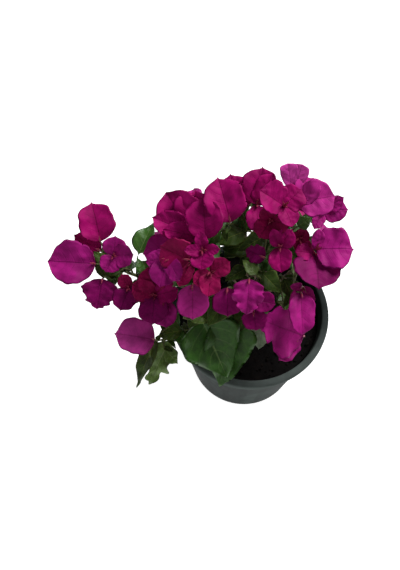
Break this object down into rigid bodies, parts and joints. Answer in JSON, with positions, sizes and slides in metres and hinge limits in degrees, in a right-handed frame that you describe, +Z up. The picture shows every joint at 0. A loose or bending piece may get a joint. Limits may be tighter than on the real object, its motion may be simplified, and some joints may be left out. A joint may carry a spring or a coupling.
{
  "type": "potted bougainvillea bush",
  "caption": "Bougainvillea bush with papery magenta bracts and heart-shaped leaves, one long spray reaching over the rim of its round dark nursery pot.",
  "frame": {"origin": "middle of the pot's flat underside, on the surface that the pot stands on", "axes": "+Z up along the pot's axis; -Y is the open side of the bush, where the soil shows; the longest spray reaches towards -X"},
  "size_m": [0.261, 0.1667, 0.277],
  "materials": {
    "pot_plastic": "dark grey-green moulded nursery pot, dusty",
    "potting_soil": "damp near-black potting soil",
    "bark": "thin grey-brown bark, green towards the tips",
    "bracts": "thin papery magenta bracts with fine veins",
    "leaves": "soft mid-green leaves, paler veins"
  },
  "bodies": {
    "root": {"pot": "pot_plastic", "soil": "potting_soil", "trunk": "bark", "far_left_bough": "bark", "left_bough": "bark", "left_centre_bough": "bark", "upper_left_bough": "bark", "back_bough": "bark", "upper_right_bough": "bark", "centre_bough": "bark", "right_bough": "bark", "front_bough": "bark", "front_right_bough": "bark", "lower_left_bough": "bark", "low_front_bough": "bark", "back_left_bough": "bark", "back_right_bough": "bark", "far_left_foliage": "bracts", "left_foliage": "bracts", "left_centre_foliage": "bracts", "upper_left_foliage": "bracts", "back_foliage": "bracts", "upper_right_foliage": "bracts", "centre_foliage": "bracts", "right_foliage": "bracts", "front_foliage": "bracts", "front_right_foliage": "bracts", "lower_left_foliage": "bracts", "low_front_foliage": "leaves", "back_left_foliage": "bracts", "back_right_foliage": "bracts"}
  },
  "joints": []
}
